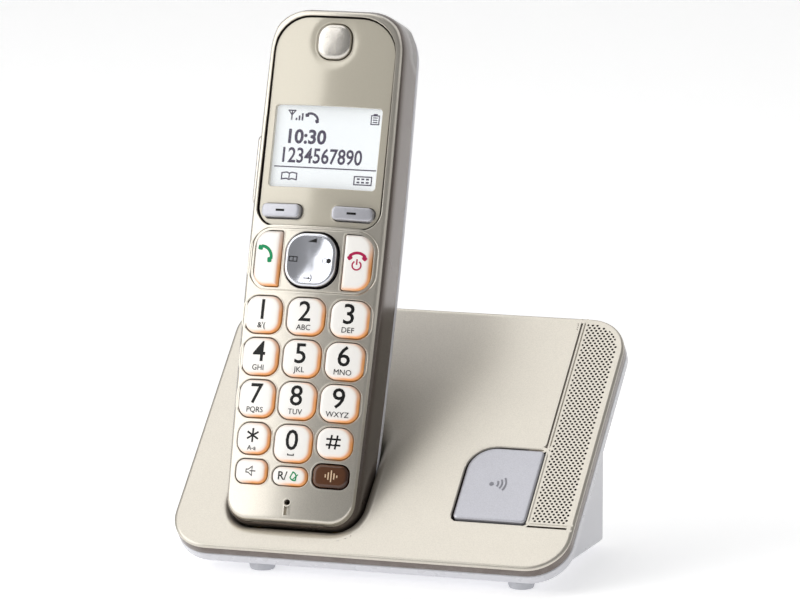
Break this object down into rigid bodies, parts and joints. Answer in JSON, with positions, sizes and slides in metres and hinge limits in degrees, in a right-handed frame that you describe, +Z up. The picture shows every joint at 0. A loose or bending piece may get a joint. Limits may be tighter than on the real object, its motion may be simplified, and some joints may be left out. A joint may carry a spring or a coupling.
{
  "type": "cordless handset with charging base",
  "caption": "Cordless telephone handset with large keys, standing in a square sloping charging base.",
  "frame": {"origin": "on the table under the middle of the whole object's box", "axes": "+Z up, +X to the right of someone facing the keys, +Y to the rear"},
  "size_m": [0.136, 0.0824, 0.1793],
  "materials": {
    "champagne_plate": "satin metallic lacquer",
    "champagne_handset": "satin metallic lacquer",
    "white_housing": "smooth moulded",
    "foot_rubber": "matt",
    "screw_steel": "zinc plated",
    "board_green": "solder mask",
    "tinned_sheet": "dull",
    "contact_gold": "plated",
    "black_moulding": "moulded",
    "silver_button": "satin silver lacquer",
    "display_panel": "gloss over champagne print",
    "display_glass": "gloss",
    "lcd_face": "display film",
    "mat_silicone": "translucent",
    "cell_sleeve": "shrink sleeve",
    "nav_silver": "silver lacquer",
    "key_brown": "gloss",
    "key_white": "gloss, lit from behind"
  },
  "bodies": {
    "base": {"base_top_cover": "champagne_plate", "grille_strip": "champagne_plate", "base_rear_housing": "white_housing", "base_feet": "foot_rubber", "base_screws": "screw_steel", "base_circuit_board": "board_green", "base_shield_can": "tinned_sheet", "base_antenna": "contact_gold", "dc_jack": "black_moulding", "line_jack": "black_moulding", "base_charge_contacts": "contact_gold", "locator_switch": "black_moulding", "locator_board": "board_green"},
    "locator_button": {"locator_button": "silver_button"},
    "handset": {"handset_front_cover": "champagne_handset", "handset_rear_cover": "white_housing", "display_panel": "display_panel", "display_window": "display_glass", "lcd_module": "lcd_face", "earpiece_cap": "silver_button", "receiver_speaker": "black_moulding", "key_mat": "mat_silicone", "handset_circuit_board": "board_green", "handset_antenna": "contact_gold", "microphone": "tinned_sheet", "ringer_speaker": "black_moulding", "battery_cells": "cell_sleeve", "battery_contacts": "screw_steel", "handset_screws": "screw_steel", "handset_charge_contacts": "contact_gold", "volume_switches": "black_moulding"},
    "key_1": {"key_1": "key_white"},
    "key_2": {"key_2": "key_white"},
    "key_3": {"key_3": "key_white"},
    "key_4": {"key_4": "key_white"},
    "key_5": {"key_5": "key_white"},
    "key_6": {"key_6": "key_white"},
    "key_7": {"key_7": "key_white"},
    "key_8": {"key_8": "key_white"},
    "key_9": {"key_9": "key_white"},
    "key_star": {"key_star": "key_white"},
    "key_0": {"key_0": "key_white"},
    "key_hash": {"key_hash": "key_white"},
    "key_speakerphone": {"key_speakerphone": "key_white"},
    "key_recall": {"key_recall": "key_white"},
    "key_noise_reduction": {"key_noise_reduction": "key_brown"},
    "key_talk": {"key_talk": "key_white"},
    "key_off": {"key_off": "key_white"},
    "softkey_left": {"softkey_left": "silver_button"},
    "softkey_right": {"softkey_right": "silver_button"},
    "nav_pivot": {"nav_pivot": "black_moulding"},
    "nav_key": {"nav_key": "nav_silver"},
    "volume_key": {"volume_key": "silver_button"},
    "battery_cover": {"battery_cover": "white_housing"}
  },
  "joints": [
    {"name": "handset_lift", "type": "slide", "parent": "base", "child": "handset", "axis": [0, 0.3007, 0.9537], "range_m": [0, 0.075]},
    {"name": "locator_press", "type": "slide", "parent": "base", "child": "locator_button", "axis": [0, 0.6691, -0.7431], "range_m": [0, 0.0008], "stiffness_N_per_m": 2500},
    {"name": "key_1_press", "type": "slide", "parent": "handset", "child": "key_1", "axis": [0, 0.9537, -0.3007], "range_m": [0, 0.0007], "stiffness_N_per_m": 2000},
    {"name": "key_2_press", "type": "slide", "parent": "handset", "child": "key_2", "axis": [0, 0.9537, -0.3007], "range_m": [0, 0.0007], "stiffness_N_per_m": 2000},
    {"name": "key_3_press", "type": "slide", "parent": "handset", "child": "key_3", "axis": [0, 0.9537, -0.3007], "range_m": [0, 0.0007], "stiffness_N_per_m": 2000},
    {"name": "key_4_press", "type": "slide", "parent": "handset", "child": "key_4", "axis": [0, 0.9537, -0.3007], "range_m": [0, 0.0007], "stiffness_N_per_m": 2000},
    {"name": "key_5_press", "type": "slide", "parent": "handset", "child": "key_5", "axis": [0, 0.9537, -0.3007], "range_m": [0, 0.0007], "stiffness_N_per_m": 2000},
    {"name": "key_6_press", "type": "slide", "parent": "handset", "child": "key_6", "axis": [0, 0.9537, -0.3007], "range_m": [0, 0.0007], "stiffness_N_per_m": 2000},
    {"name": "key_7_press", "type": "slide", "parent": "handset", "child": "key_7", "axis": [0, 0.9537, -0.3007], "range_m": [0, 0.0007], "stiffness_N_per_m": 2000},
    {"name": "key_8_press", "type": "slide", "parent": "handset", "child": "key_8", "axis": [0, 0.9537, -0.3007], "range_m": [0, 0.0007], "stiffness_N_per_m": 2000},
    {"name": "key_9_press", "type": "slide", "parent": "handset", "child": "key_9", "axis": [0, 0.9537, -0.3007], "range_m": [0, 0.0007], "stiffness_N_per_m": 2000},
    {"name": "key_star_press", "type": "slide", "parent": "handset", "child": "key_star", "axis": [0, 0.9537, -0.3007], "range_m": [0, 0.0007], "stiffness_N_per_m": 2000},
    {"name": "key_0_press", "type": "slide", "parent": "handset", "child": "key_0", "axis": [0, 0.9537, -0.3007], "range_m": [0, 0.0007], "stiffness_N_per_m": 2000},
    {"name": "key_hash_press", "type": "slide", "parent": "handset", "child": "key_hash", "axis": [0, 0.9537, -0.3007], "range_m": [0, 0.0007], "stiffness_N_per_m": 2000},
    {"name": "key_speakerphone_press", "type": "slide", "parent": "handset", "child": "key_speakerphone", "axis": [0, 0.9537, -0.3007], "range_m": [0, 0.0007], "stiffness_N_per_m": 2000},
    {"name": "key_recall_press", "type": "slide", "parent": "handset", "child": "key_recall", "axis": [0, 0.9537, -0.3007], "range_m": [0, 0.0007], "stiffness_N_per_m": 2000},
    {"name": "key_noise_reduction_press", "type": "slide", "parent": "handset", "child": "key_noise_reduction", "axis": [0, 0.9537, -0.3007], "range_m": [0, 0.0007], "stiffness_N_per_m": 2000},
    {"name": "key_talk_press", "type": "slide", "parent": "handset", "child": "key_talk", "axis": [0, 0.9537, -0.3007], "range_m": [0, 0.0007], "stiffness_N_per_m": 2000},
    {"name": "key_off_press", "type": "slide", "parent": "handset", "child": "key_off", "axis": [0, 0.9537, -0.3007], "range_m": [0, 0.0007], "stiffness_N_per_m": 2000},
    {"name": "softkey_left_press", "type": "slide", "parent": "handset", "child": "softkey_left", "axis": [0, 0.9537, -0.3007], "range_m": [0, 0.0007], "stiffness_N_per_m": 2000},
    {"name": "softkey_right_press", "type": "slide", "parent": "handset", "child": "softkey_right", "axis": [0, 0.9537, -0.3007], "range_m": [0, 0.0007], "stiffness_N_per_m": 2000},
    {"name": "nav_up_down", "type": "hinge", "parent": "handset", "child": "nav_pivot", "pos_m": [-0.0273, -0.00662, 0.09836], "axis": [1, 0, 0], "range_deg": [-2.5, 2.5], "stiffness_Nm_per_rad": 0.25},
    {"name": "nav_left_right", "type": "hinge", "parent": "nav_pivot", "child": "nav_key", "pos_m": [-0.0273, -0.00662, 0.09836], "axis": [0, 0.3007, 0.9537], "range_deg": [-2.5, 2.5], "stiffness_Nm_per_rad": 0.25},
    {"name": "volume_rock", "type": "hinge", "parent": "handset", "child": "volume_key", "pos_m": [-0.0494, 0.00808, 0.12571], "axis": [0, -0.9537, 0.3007], "range_deg": [-2.5, 2.5], "stiffness_Nm_per_rad": 0.25},
    {"name": "battery_cover_tilt", "type": "hinge", "parent": "handset", "child": "battery_cover", "pos_m": [-0.0273, 0.00068, 0.05234], "axis": [-1, 0, 0], "range_deg": [0, 25]}
  ]
}
